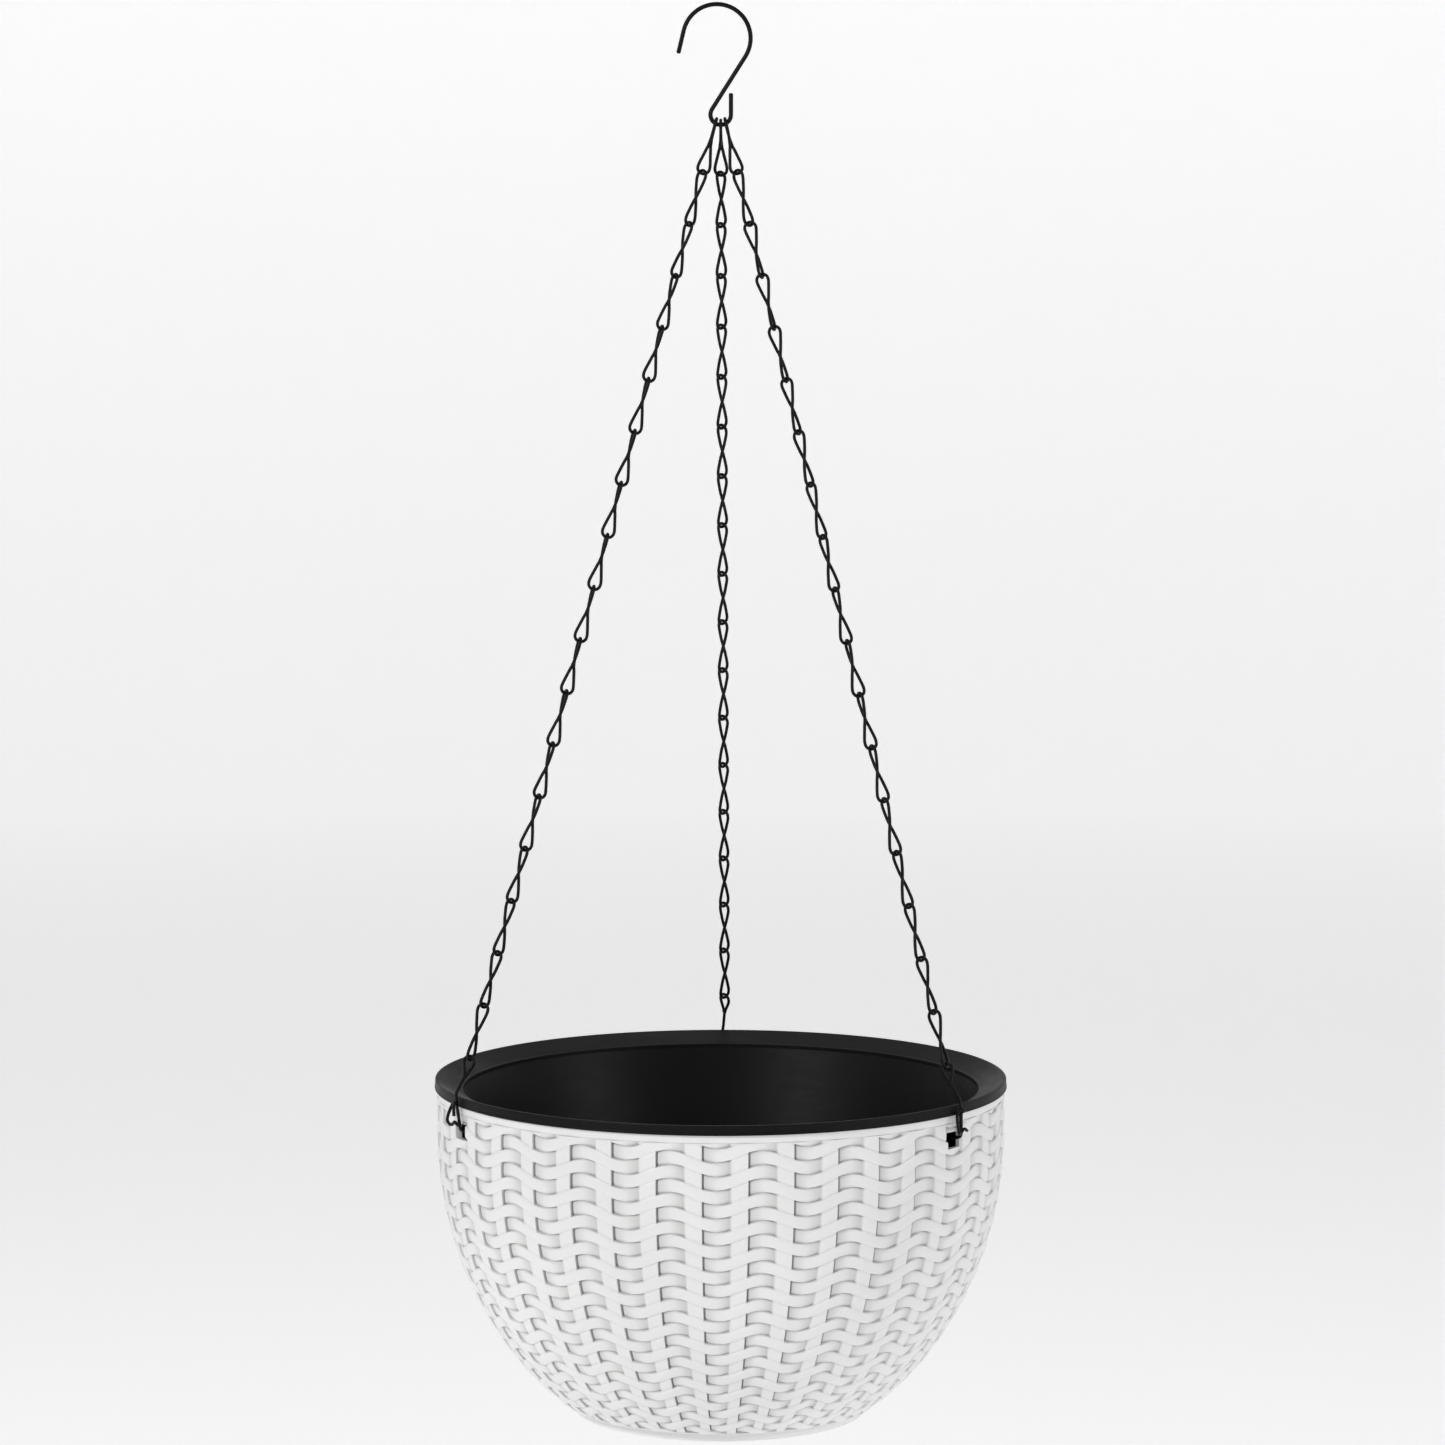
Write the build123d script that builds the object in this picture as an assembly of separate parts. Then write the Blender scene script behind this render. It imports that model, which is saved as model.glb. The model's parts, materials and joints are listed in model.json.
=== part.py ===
from build123d import *
import os
from math import acos, asin, atan2, cos, degrees, pi, radians, sin, sqrt

# A hanging planter: a white woven-pattern bowl, a black liner pot whose lip covers the bowl's
# edge, and three twisted-wire chains that meet on one S-hook.
# Millimetres. +Z is up, the front faces -Y, and the origin is the point of the hook's crown
# that rests on the rod or bracket it hangs from.

# ---- overall sizes ----
RIM_DROP = 485.0             # hanging point down to the top plane of the liner's rim
EYE_DROP = 52.7              # hanging point down to the wire centre at the bottom of the S-hook
POT_RADIUS = 129.3           # bowl, outside, at its vertical top band
POT_HEIGHT = 155.0           # top plane of the rim down to the foot's underside
CHAIN_AZIMUTHS = {"left": -63.85, "right": 53.15, "rear": 179.15}   # from the front, + towards +X

# ---- bowl (outer pot) ----
POT_WALL = 2.4
POT_BELLY_DROP = 25.0        # rim plane down to the centre of the ellipse that the wall follows
POT_BASE_RADIUS = 70.8       # where that ellipse meets the floor's underside
BELLY_POINTS = 8             # spans of the curve through the ellipse
FOOT_RADIUS = 66.5
FOOT_WALL = 3.0
FOOT_RECESS = 4.5            # floor's underside above the foot's underside
FLOOR_THICKNESS = 2.6
HOLE_WIDTH = 10.0            # rectangular chain holes in the wall
HOLE_HEIGHT = 7.4
HOLE_DROP = 15.8             # rim plane down to a chain hole's centre

# ---- liner (inner pot) ----
LINER_WALL = 1.6
LIP_WALL = 1.1
LIP_HEIGHT = 4.4
LIP_CLEARANCE = 0.4          # lip to the bowl, and rim to the bowl's top edge
FLARE_WIDTH = 11.0           # sloping rim, measured along the radius
FLARE_DROP = 5.0
LINER_DEPTH = 118.0          # rim plane down to the liner's underside
LINER_FOOT_CLEARANCE = 12.5  # liner's lower edge to the bowl's inside
LINER_HOLE_RADIUS = 2.3
LINER_HOLE_COUNT = 8
LINER_HOLE_INSET = 24.0      # hole circle inside the liner's lower edge

# ---- grate that keeps soil off the liner's floor ----
GRATE_THICKNESS = 2.0
GRATE_STAND = 14.0           # height of its feet
GRATE_CLEARANCE = 2.5        # edge of the grate to the liner's wall
GRATE_FOOT_RADIUS = 5.0
GRATE_FOOT_COUNT = 5
GRATE_FOOT_SHARE = 0.53      # feet's circle, as a share of the grate's radius
GRATE_HOLE_RADIUS = 2.2
GRATE_HOLE_RINGS = {0.14: 6, 0.30: 12, 0.69: 24, 0.83: 28}   # share of its radius: holes in it

# ---- rubber plug in the bowl's drain hole ----
DRAIN_RADIUS = 8.0
PLUG_CLEARANCE = 0.3
PLUG_HEAD_RADIUS = 12.0
PLUG_HEAD_THICKNESS = 1.8
PLUG_TIP = 3.0               # stem showing above the bowl's floor

# ---- S-hook ----
HOOK_WIRE = 2.0
CROWN_RADIUS = 15.2          # centreline of the open upper hook
CROWN_OFFSET = 1.8           # crown's centre to the left of the hanging point
EYE_RADIUS = 4.6             # centreline of the lower bend that carries the chains
CROWN_LIMB = 11.0            # straight end of the upper hook
CROWN_FLARE = 13.5           # degrees that this end leans outward
EYE_LIMB = 10.0              # straight end of the lower bend

# ---- chain links ----
LINKS_PER_CHAIN = 18
LINKS_PER_NODE = 3
LINK_WIRE = 1.45
LINK_LOOP_RADIUS = 2.7       # centreline of a loop's round end
LINK_WAIST = 0.6             # centreline of each strand beside the middle of the link
LINK_CLEARANCE = 0.12        # between two links that hang in each other
HOOK_CLEARANCE = 0.35        # between a top link and the S-hook
LINK_SPREAD = 46.0           # degrees between neighbouring top links, along the lower bend
CHAIN_TWIST = {"left": (0.0, 12.0, 60.0), "right": (0.0, 16.0, 62.0), "rear": (0.0, 45.0, 45.0)}

# ---- end hooks, over the rim and into the bowl's wall ----
END_RISE = 18.0              # last link's bearing point above the rim plane
END_INSET = 7.4              # and inside the hook's outer leg
END_EYE_LENGTH = 8.5
END_CLEARANCE = 0.45         # hook to the rim
END_BEND = 2.0
END_LEG = 6.5                # straight leg that enters the hole
END_LEG_DROP = 14.6          # rim plane down to that leg, where it turns in
LATCH_OFFSET = 4.4           # safety latch, to the side of the outer leg
LATCH_DROP = 12.4            # rim plane down to the latch's bend
LATCH_BEND = 2.1
LATCH_OVERLAP = 0.25         # weld of the latch into the outer leg, past its centre

RIM_Z = -RIM_DROP
FOOT_Z = RIM_Z - POT_HEIGHT
RIM_RADIUS = POT_RADIUS + LIP_CLEARANCE + LIP_WALL
LIP_IN = RIM_RADIUS - LIP_WALL
FLARE_IN = RIM_RADIUS - FLARE_WIDTH
FLARE_SLOPE = FLARE_DROP / (LIP_IN - FLARE_IN)
POT_TOP_Z = RIM_Z - LINER_WALL - FLARE_SLOPE * (LIP_IN - POT_RADIUS + POT_WALL) - LIP_CLEARANCE
FLOOR_Z = FOOT_Z + FOOT_RECESS
# The ellipse's vertical semi-axis makes it reach the base radius at the floor's underside.
POT_BELLY_DEPTH = (POT_HEIGHT - FOOT_RECESS - POT_BELLY_DROP) / sqrt(1 - (POT_BASE_RADIUS / POT_RADIUS) ** 2)
# The liner's lower edge follows the bowl's inside at the liner's depth.
BELLY_SHARE = (LINER_DEPTH - POT_BELLY_DROP) / (POT_BELLY_DEPTH - POT_WALL)
LINER_FOOT_RADIUS = (POT_RADIUS - POT_WALL) * sqrt(1 - BELLY_SHARE ** 2) - LINER_FOOT_CLEARANCE
LINER_HOLE_CIRCLE = LINER_FOOT_RADIUS - LINER_HOLE_INSET
EYE_Z = -EYE_DROP
END_RADIUS = RIM_RADIUS + END_CLEARANCE + LINK_WIRE / 2


def radial(azimuth):
    """Unit vector that points outward at an azimuth counted from the front."""
    return Vector(sin(radians(azimuth)), -cos(radians(azimuth)), 0)


def turned(points):
    """Solid of revolution about Z, from an outline of (radius, height) points."""
    return revolve(Plane.XZ * make_face(Polyline(*points, close=True)), Axis.Z)


def wire(path, diameter):
    """Round wire along a path."""
    return sweep(Plane(path @ 0, z_dir=path % 0) * Circle(diameter / 2), path=path)


def bowl(radius, belly_depth, top, bottom):
    """Solid bowl: a vertical band, then an ellipse down to a flat bottom."""
    centre = RIM_Z - POT_BELLY_DROP
    low = asin((centre - bottom) / belly_depth)
    turns = [low * step / BELLY_POINTS for step in range(BELLY_POINTS + 1)]
    curve = [(radius * cos(turn), centre - belly_depth * sin(turn)) for turn in turns]
    last = (-radius * sin(low), -belly_depth * cos(low))
    side = Spline(*curve, tangents=[(0, -1), last])
    outline = side + Polyline(curve[-1], (0, bottom), (0, top), (radius, top), curve[0])
    return revolve(Plane.XZ * make_face(outline), Axis.Z)


def outer_pot():
    inside = bowl(POT_RADIUS - POT_WALL, POT_BELLY_DEPTH - POT_WALL, POT_TOP_Z, FLOOR_Z + FLOOR_THICKNESS)
    pot = bowl(POT_RADIUS, POT_BELLY_DEPTH, POT_TOP_Z, FLOOR_Z) - inside
    foot_top = FLOOR_Z + FLOOR_THICKNESS
    foot_in = FOOT_RADIUS - FOOT_WALL
    pot += turned([(foot_in, FOOT_Z), (FOOT_RADIUS, FOOT_Z), (FOOT_RADIUS, foot_top), (foot_in, foot_top)])
    pot -= Pos(0, 0, FLOOR_Z) * Cylinder(DRAIN_RADIUS, 4 * FLOOR_THICKNESS)
    for azimuth in CHAIN_AZIMUTHS.values():
        middle = radial(azimuth) * (POT_RADIUS - POT_WALL / 2) + Vector(0, 0, RIM_Z - HOLE_DROP)
        cutter = Box(HOLE_WIDTH, 6 * POT_WALL, HOLE_HEIGHT)
        pot -= Pos(*middle) * Rot(0, 0, azimuth) * cutter
    return pot


def liner_wall_radius(height):
    """Outside radius of the liner's tapered wall, at a height."""
    share = (RIM_Z - FLARE_DROP - height) / (LINER_DEPTH - FLARE_DROP)
    return FLARE_IN + (LINER_FOOT_RADIUS - FLARE_IN) * share


def inner_pot():
    base = RIM_Z - LINER_DEPTH
    flare_z = RIM_Z - FLARE_DROP
    pot = turned([
        (0, base), (LINER_FOOT_RADIUS, base), (FLARE_IN, flare_z - LINER_WALL),
        (LIP_IN, RIM_Z - LINER_WALL), (LIP_IN, RIM_Z - LIP_HEIGHT), (RIM_RADIUS, RIM_Z - LIP_HEIGHT),
        (RIM_RADIUS, RIM_Z), (LIP_IN, RIM_Z), (FLARE_IN - LINER_WALL, flare_z),
        (LINER_FOOT_RADIUS - LINER_WALL, base + LINER_WALL), (0, base + LINER_WALL),
    ])
    drill = Cylinder(LINER_HOLE_RADIUS, 6 * LINER_WALL)
    for place in PolarLocations(LINER_HOLE_CIRCLE, LINER_HOLE_COUNT):
        pot -= Pos(0, 0, base) * place * drill
    return pot


def drainage_grate():
    stand_z = RIM_Z - LINER_DEPTH + LINER_WALL + LIP_CLEARANCE
    plate_z = stand_z + GRATE_STAND
    radius = liner_wall_radius(plate_z) - LINER_WALL - GRATE_CLEARANCE
    rise = Align.CENTER, Align.CENTER, Align.MIN
    grate = Pos(0, 0, plate_z) * Cylinder(radius, GRATE_THICKNESS, align=rise)
    for share, count in GRATE_HOLE_RINGS.items():
        for place in PolarLocations(share * radius, count):
            grate -= Pos(0, 0, plate_z) * place * Cylinder(GRATE_HOLE_RADIUS, 3 * GRATE_THICKNESS)
    for place in PolarLocations(GRATE_FOOT_SHARE * radius, GRATE_FOOT_COUNT):
        foot = Cylinder(GRATE_FOOT_RADIUS, GRATE_STAND + GRATE_THICKNESS / 2, align=rise)
        grate += Pos(0, 0, stand_z) * place * foot
    return grate


def drain_plug():
    head_top = FLOOR_Z - PLUG_CLEARANCE
    head_bottom = head_top - PLUG_HEAD_THICKNESS
    stem = DRAIN_RADIUS - PLUG_CLEARANCE
    stem_top = FLOOR_Z + FLOOR_THICKNESS + PLUG_TIP
    taper = PLUG_TIP / 2
    return turned([
        (0, head_bottom), (PLUG_HEAD_RADIUS, head_bottom), (PLUG_HEAD_RADIUS, head_top), (stem, head_top),
        (stem, stem_top - taper), (stem - taper, stem_top), (0, stem_top),
    ])


def s_hook():
    """Open upper hook, a slanting stem and a tight lower bend, all in the XZ plane."""
    inner_crown = CROWN_RADIUS - HOOK_WIRE / 2
    crown = Vector(-CROWN_OFFSET, -sqrt(inner_crown ** 2 - CROWN_OFFSET ** 2))
    eye = Vector(0, EYE_Z + EYE_RADIUS)
    reach = eye - crown
    # The stem is the tangent that crosses from one bend to the other.
    slant = degrees(asin((CROWN_RADIUS + EYE_RADIUS) / reach.length)) - degrees(atan2(reach.X, -reach.Y))
    left = 180 - CROWN_FLARE
    over = CenterArc((crown.X, crown.Y), CROWN_RADIUS, left, -(left + slant))
    under = CenterArc((eye.X, eye.Y), EYE_RADIUS, 180 - slant, 180 + slant)
    tip = (over @ 0) - (over % 0) * CROWN_LIMB
    end = (under @ 1) + (under % 1) * EYE_LIMB
    path = Line(tip, over @ 0) + over + Line(over @ 1, under @ 0) + under + Line(under @ 1, end)
    return wire(Plane.XZ * Wire(path.edges()), HOOK_WIRE)


def loop(length, overrun):
    """Teardrop of wire in the XZ plane, from the origin up to its round end's centreline."""
    centre = length - LINK_LOOP_RADIUS
    low = Vector(LINK_WAIST, -overrun)
    away = low - Vector(0, centre)
    side = degrees(atan2(away.Y, away.X) + acos(LINK_LOOP_RADIUS / away.length))
    bend = CenterArc((0, centre), LINK_LOOP_RADIUS, side, 90 - side)
    strand = wire(Plane.XZ * Wire((Line(low, bend @ 0) + bend).edges()), LINK_WIRE)
    return strand + mirror(strand, Plane.YZ)


def chain_frame(name):
    """Top bearing point, downward direction and pitch of one chain."""
    turn = radians(LINK_SPREAD * {"left": -1, "rear": 0, "right": 1}[name])
    seat = HOOK_WIRE / 2 + HOOK_CLEARANCE + LINK_WIRE / 2
    inside = EYE_RADIUS - seat
    end = radial(CHAIN_AZIMUTHS[name]) * (END_RADIUS - END_INSET) + Vector(0, 0, RIM_Z + END_RISE)
    # The top loop leans forward or back with its chain, so that it stays centred on the hook's wire.
    lean = end.Y / (EYE_Z - end.Z)
    start = Vector(inside * sin(turn), -seat * lean, EYE_Z + EYE_RADIUS - inside * cos(turn))
    run = end - start
    return start, run.normalized(), run.length / LINKS_PER_CHAIN


def link_length():
    """Centreline length of a link: the mean pitch, the two wires it hangs in, and the play."""
    pitches = [chain_frame(name)[2] for name in CHAIN_AZIMUTHS]
    return sum(pitches) / len(pitches) + LINK_WIRE + LINK_CLEARANCE


def twist(name, share):
    """Turn of a link about its chain, in degrees, eased from top to middle to bottom."""
    top, middle, bottom = CHAIN_TWIST[name]
    ease = (1 + cos(2 * pi * share)) / 2
    return middle + ((top if share < 0.5 else bottom) - middle) * ease


def along(name, distance, share):
    """Location on a chain: its Z axis points up the chain, and X is turned by the twist."""
    start, down, _ = chain_frame(name)
    across = Vector(1, 0, 0) - down * down.X
    place = Plane(start + down * distance, x_dir=across, z_dir=down * -1)
    return place.location * Rot(0, 0, 90 + twist(name, share))


def chain_segment(name, first):
    """A few links, each a separate solid that hangs in the one above it."""
    length = link_length()
    pitch = chain_frame(name)[2]
    half = loop(length / 2, LINK_WIRE / 2)
    link = half + Rot(0, 0, 90) * Rot(180, 0, 0) * half
    links = []
    for index in range(first, first + LINKS_PER_NODE):
        share = index / (LINKS_PER_CHAIN - 1)
        links.append(along(name, length / 2 + index * pitch, share) * link)
    return Compound(children=links)


def end_hook(name):
    """Eye on the last link, a stem over the rim, a leg into the bowl's wall and a latch."""
    start, down, pitch = chain_frame(name)
    out = radial(CHAIN_AZIMUTHS[name])
    side = Vector(-out.Y, out.X, 0)
    eye_top = LINKS_PER_CHAIN * pitch
    eye = along(name, eye_top + END_EYE_LENGTH, 1.0) * loop(END_EYE_LENGTH, LINK_WIRE / 2)
    waist = start + down * (eye_top + END_EYE_LENGTH)

    def at(radius, height, shift=0.0):
        return out * radius + side * shift + Vector(0, 0, RIM_Z + height)

    apex = Vector(0, 0, EYE_Z)
    corner = at(END_RADIUS, -END_LEG_DROP)
    # The leg is square to the line up to the S-hook, so that it slides out as the chain spreads.
    to_apex = (apex - corner).normalized()
    inward = (out * -1 + to_apex * out.dot(to_apex)).normalized()
    top = waist - down * LINK_WIRE
    stem = FilletPolyline(top, at(END_RADIUS, END_BEND), corner, corner + inward * END_LEG, radius=END_BEND)
    hook = eye + wire(stem, LINK_WIRE)
    latch = FilletPolyline(
        at(END_RADIUS, -LIP_HEIGHT / 2, LATCH_OVERLAP), at(END_RADIUS, -LIP_HEIGHT / 2, -LATCH_OFFSET),
        at(END_RADIUS, -LATCH_DROP, -LATCH_OFFSET), at(END_RADIUS, -LATCH_DROP, LATCH_OVERLAP), radius=LATCH_BEND)
    return hook + wire(latch, LINK_WIRE)


def main():
    os.makedirs("parts", exist_ok=True)
    nodes = {
        "s_hook": s_hook(),
        "outer_pot": outer_pot(),
        "inner_pot": inner_pot(),
        "drainage_grate": drainage_grate(),
        "drain_plug": drain_plug(),
    }
    for name in CHAIN_AZIMUTHS:
        for first in range(0, LINKS_PER_CHAIN, LINKS_PER_NODE):
            nodes[f"chain_{name}_{first // LINKS_PER_NODE + 1}"] = chain_segment(name, first)
        nodes[f"end_hook_{name}"] = end_hook(name)
    for name, piece in nodes.items():
        export_step(piece, f"parts/{name}.step")
        print(name, "volume", round(piece.volume, 1))


main()
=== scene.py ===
# %% [markdown]
# # A hanging planter
# A white bowl moulded in a woven pattern holds a black liner pot. Three chains of bent wire
# run from end hooks in the bowl's wall up to one S-hook. This lesson builds the look of each
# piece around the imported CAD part, which already says where everything is and how it moves.

# %% Load the frame
import json
import math

import bpy
import numpy as np
from mathutils import Matrix, Vector


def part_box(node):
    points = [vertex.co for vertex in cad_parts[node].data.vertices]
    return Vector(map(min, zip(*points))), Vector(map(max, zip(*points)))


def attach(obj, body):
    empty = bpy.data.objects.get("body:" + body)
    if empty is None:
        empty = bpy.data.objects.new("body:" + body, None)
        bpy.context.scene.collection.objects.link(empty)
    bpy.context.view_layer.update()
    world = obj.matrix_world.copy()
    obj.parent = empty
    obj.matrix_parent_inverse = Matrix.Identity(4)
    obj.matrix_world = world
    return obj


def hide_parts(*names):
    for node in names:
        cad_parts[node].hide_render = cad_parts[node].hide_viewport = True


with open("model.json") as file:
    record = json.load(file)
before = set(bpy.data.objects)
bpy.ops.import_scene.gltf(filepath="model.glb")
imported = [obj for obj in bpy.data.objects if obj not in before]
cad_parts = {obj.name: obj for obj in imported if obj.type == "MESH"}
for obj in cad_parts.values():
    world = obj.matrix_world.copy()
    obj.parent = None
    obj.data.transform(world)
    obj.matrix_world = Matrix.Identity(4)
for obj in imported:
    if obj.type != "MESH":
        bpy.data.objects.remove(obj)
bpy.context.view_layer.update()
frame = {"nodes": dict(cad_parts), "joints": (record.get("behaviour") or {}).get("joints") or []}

MM = 0.001

# %% [markdown]
# ## Places and sizes
# The liner's box gives the rim, the bowl's box gives its radius and foot, and each chain's hinge
# gives the direction that the chain leans in. Sizes that the frame can't give, such as a wall's
# thickness or the depth of the weave, are named where they are first used.

# %% Read places from the frame
rim_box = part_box("inner_pot")
bowl_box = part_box("outer_pot")
RIM_Z = rim_box[1].z
RIM_RADIUS = rim_box[1].x
BOWL_RADIUS = bowl_box[1].x
BOWL_TOP = bowl_box[1].z
FOOT_Z = bowl_box[0].z
LINER_BASE = rim_box[0].z

joints = {joint["name"]: joint for joint in frame["joints"]}
SWING_HEIGHT = joints["basket_swing"]["pos_m"][2]
chain_starts = {}
chain_outward = {}
for title, joint in joints.items():
    if title.startswith("chain_"):
        name = joint["child"]
        axis = Vector(joint["axis"])
        chain_starts[name] = Vector(joint["pos_m"])
        # The hinge turns the chain outward, so outward is square to its axis and to Z.
        chain_outward[name] = axis.cross(Vector((0, 0, -1))).normalized()
print("outward", {name: [round(v, 3) for v in out] for name, out in chain_outward.items()})

# %% [markdown]
# ## Shader maths as Python
# A material is easier to read as an expression than as a list of links. This small class wraps
# an output socket, so that `height * 0.5 + 1` adds the Math nodes it needs. Numbers alone stay
# in Python, and every other node comes from one method, `node`.

# %% A socket that does arithmetic
class Value:
    """A shader output that takes part in Python arithmetic."""

    def __init__(self, finish, socket):
        self.finish = finish
        self.socket = socket

    def _math(self, operation, *inputs):
        return self.finish.node("ShaderNodeMath", {"operation": operation}, dict(enumerate(inputs)))

    def __add__(self, other):
        return self._math("ADD", self, other)

    def __radd__(self, other):
        return self._math("ADD", other, self)

    def __sub__(self, other):
        return self._math("SUBTRACT", self, other)

    def __rsub__(self, other):
        return self._math("SUBTRACT", other, self)

    def __mul__(self, other):
        return self._math("MULTIPLY", self, other)

    def __rmul__(self, other):
        return self._math("MULTIPLY", other, self)

    def smooth(self, low, high):
        """0 below low, 1 above high, eased between."""
        settings = {"interpolation_type": "SMOOTHSTEP"}
        inputs = {"Value": self, "From Min": low, "From Max": high}
        return self.finish.node("ShaderNodeMapRange", settings, inputs)


class Finish:
    """A material under construction, with its Principled shader ready."""

    def __init__(self, name, **constants):
        self.material = bpy.data.materials.new(name)
        self.material.use_nodes = True
        self.tree = self.material.node_tree
        self.shader = self.tree.nodes["Principled BSDF"]
        for socket, value in constants.items():
            self.shader.inputs[socket.replace("_", " ")].default_value = value

    def node(self, kind, settings=None, inputs=None, output=0):
        """Adds a node: its settings first, then the values or links of its sockets."""
        made = self.tree.nodes.new(kind)
        for key, value in (settings or {}).items():
            setattr(made, key, value)
        for key, value in (inputs or {}).items():
            if isinstance(value, Value):
                self.tree.links.new(value.socket, made.inputs[key])
            else:
                made.inputs[key].default_value = value
        return Value(self, made.outputs[output])

    def noise(self, scale, detail=3.0, stretch=(1, 1, 1)):
        """Noise in the object's own coordinates, so that it rides with the piece."""
        place = self.node("ShaderNodeTexCoord", output="Object")
        spread = self.node("ShaderNodeVectorMath", {"operation": "MULTIPLY"}, {0: place, 1: stretch})
        return self.node("ShaderNodeTexNoise", {}, {"Vector": spread, "Scale": scale, "Detail": detail})

    def mix(self, share, low, high):
        """Colour between low and high, as share goes from 0 to 1."""
        settings = {"data_type": "RGBA"}
        return self.node("ShaderNodeMix", settings, {0: share, 6: low, 7: high}, output=2)

    def bump(self, height, strength, distance, under=None):
        """Bump from a height, on top of another bump where one is given."""
        inputs = {"Height": height, "Strength": strength, "Distance": distance}
        if under:
            inputs["Normal"] = under
        return self.node("ShaderNodeBump", {}, inputs)

    def wire(self, **links):
        """Links values into the shader's sockets and returns the finished material."""
        for socket, value in links.items():
            self.tree.links.new(value.socket, self.shader.inputs[socket.replace("_", " ")])
        return self.material


# %% [markdown]
# ## White moulded plastic
# The bowl is polypropylene, moulded white and slightly glossy. What gives it life is not its
# colour but small things: a faint orange-peel ripple from the mould and a finer grain. The
# grooves of the weave get painted shade: the mesh carries an attribute, worked out from the
# real depth, and the colour turns grey where the pattern is deep.

# %% White plastic
def white_plastic():
    finish = Finish("white_woven_plastic", Specular_IOR_Level=0.45)
    groove_shade = finish.node("ShaderNodeAttribute", {"attribute_name": "groove_shade"}, output="Fac")
    cloud = finish.noise(9.0, 4.0)
    ripple = finish.noise(260.0, 2.0)
    grain = finish.noise(2400.0, 2.0)
    unshaded_white = finish.mix(cloud.smooth(0.35, 0.7), (0.68, 0.68, 0.678, 1), (0.72, 0.72, 0.718, 1))
    # Painted shade: the colour turns dark grey in the grooves and at the creases.
    colour = finish.mix(groove_shade, unshaded_white, (0.36, 0.355, 0.35, 1))
    rough = 0.34 + cloud * 0.12 + groove_shade * 0.25
    peel = finish.bump(ripple, 0.12, 0.0006)
    surface = finish.bump(grain, 0.10, 0.0002, under=peel)
    return finish.wire(Base_Color=colour, Roughness=rough, Normal=surface)


# %% [markdown]
# ## Black moulded plastic
# The liner is the same family of plastic in black, with a satin face. Black plastic never
# renders as pure black: it has a weak grey sheen, fine rubbed streaks round the rim, and dust
# on faces that look up.

# %% Black plastic
def black_plastic(name, tint, rub):
    finish = Finish(name, Specular_IOR_Level=0.10)
    cloud = finish.noise(14.0, 5.0)
    streak = finish.noise(60.0, 3.0, stretch=(1, 1, 9))
    grain = finish.noise(1800.0, 3.0)
    normal = finish.node("ShaderNodeNewGeometry", output="Normal")
    upward = finish.node("ShaderNodeSeparateXYZ", {}, {"Vector": normal}, output="Z")
    dust = upward.smooth(0.2, 1.0) * cloud.smooth(0.4, 0.75)
    dark = (tint * 0.8, tint * 0.79, tint * 0.82, 1)
    light = (tint * 1.35, tint * 1.3, tint * 1.38, 1)
    colour = finish.mix(dust * 0.35, finish.mix(cloud, dark, light), (0.03, 0.029, 0.028, 1))
    rough = rub + streak * 0.14 + dust * 0.2
    surface = finish.bump(grain, 0.22, 0.0002)
    return finish.wire(Base_Color=colour, Roughness=rough, Normal=surface)


# %% [markdown]
# ## Black coated wire
# The chain and hooks are steel wire dipped in black paint. The coat pools a little, so its
# gloss wanders along the wire, and it has worn through to dull steel in tiny spots.

# %% Coated wire
def black_wire():
    finish = Finish("black_coated_wire", Specular_IOR_Level=0.12)
    flow = finish.noise(120.0, 3.0)
    grain = finish.noise(3200.0, 2.0)
    chips = finish.noise(900.0, 4.0).smooth(0.70, 0.76)
    coat = finish.mix(flow, (0.002, 0.002, 0.0022, 1), (0.005, 0.005, 0.005, 1))
    colour = finish.mix(chips * 0.5, coat, (0.10, 0.095, 0.09, 1))
    rough = 0.30 + flow * 0.22
    surface = finish.bump(grain, 0.08, 0.0001, under=finish.bump(flow, 0.15, 0.0003))
    return finish.wire(Base_Color=colour, Roughness=rough, Metallic=chips * 0.5, Normal=surface)


# %% [markdown]
# ## Rubber
# The drain plug is pressed rubber: dull, slightly brown, with a soft speckle.

# %% Rubber
def rubber():
    finish = Finish("plug_rubber_black", Specular_IOR_Level=0.3)
    speckle = finish.noise(1400.0, 4.0)
    cloud = finish.noise(80.0, 3.0)
    colour = finish.mix(cloud, (0.020, 0.019, 0.018, 1), (0.042, 0.040, 0.037, 1))
    surface = finish.bump(speckle, 0.35, 0.0002)
    return finish.wire(Base_Color=colour, Roughness=0.62 + cloud * 0.2, Normal=surface)


# %% Mix the finishes
WHITE = white_plastic()
BLACK = black_plastic("liner_plastic_black", tint=0.0042, rub=0.38)
GRATE = black_plastic("grate_plastic_black", tint=0.024, rub=0.45)
WIRE = black_wire()
RUBBER = rubber()
print("finishes", [material.name for material in (WHITE, BLACK, GRATE, WIRE, RUBBER)])

# %% [markdown]
# ## Helpers for meshes
# Most pieces below come down to two shapes: a grid of points that closes on itself, and a
# tube that follows a line. One function turns points and faces into an object on the right
# body, with the right material.

# %% Make a piece
CREASE = math.radians(40)


def make_piece(name, points, faces, material, body, slot, replaced):
    """A mesh object that rides on a body and stands for CAD nodes."""
    mesh = bpy.data.meshes.new(name)
    mesh.from_pydata([tuple(p) for p in points], [], faces)
    mesh.validate()
    mesh.shade_smooth()
    mesh.set_sharp_from_angle(angle=CREASE)
    piece = bpy.data.objects.new(name, mesh)
    bpy.context.scene.collection.objects.link(piece)
    mesh.materials.append(material)
    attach(piece, body)
    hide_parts(*replaced)
    return piece


def make_plain(name, points, faces):
    """A mesh object that is no piece: a cutter or the floor."""
    mesh = bpy.data.meshes.new(name)
    mesh.from_pydata([tuple(p) for p in points], [], faces)
    plain = bpy.data.objects.new(name, mesh)
    bpy.context.scene.collection.objects.link(plain)
    return plain


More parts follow.
